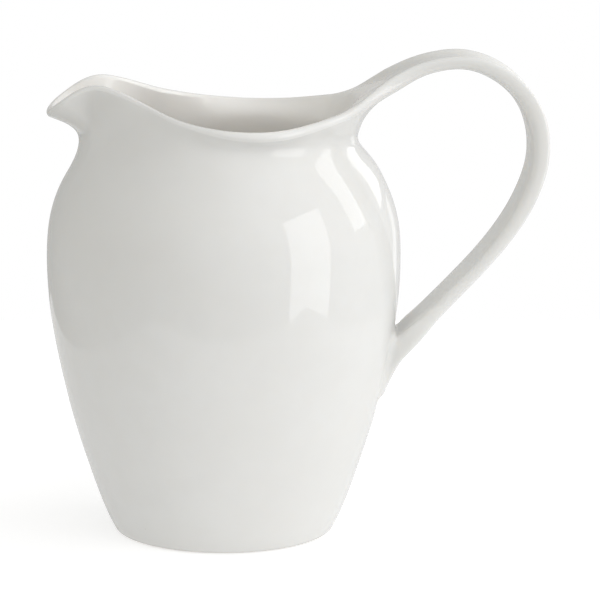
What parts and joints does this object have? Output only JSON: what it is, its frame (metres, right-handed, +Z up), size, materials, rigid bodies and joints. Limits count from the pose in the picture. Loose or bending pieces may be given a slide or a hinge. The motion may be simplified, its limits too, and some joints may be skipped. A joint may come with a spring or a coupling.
{
  "type": "porcelain milk jug",
  "caption": "White glazed porcelain milk jug with a rounded belly, small foot, pulled pouring spout and a broad channelled strap handle, empty and open at the top.",
  "frame": {"origin": "centre of the foot ring on the table plane, on the axis of the turned body", "axes": "+Z up along the body's axis, +X towards the handle, the spout points along -X, mirror plane Y=0"},
  "size_m": [0.1374, 0.0976, 0.1332],
  "materials": {
    "glazed_porcelain": "clear gloss glaze over white porcelain, foot ring left unglazed"
  },
  "bodies": {
    "root": {"jug": "glazed_porcelain"}
  },
  "joints": []
}
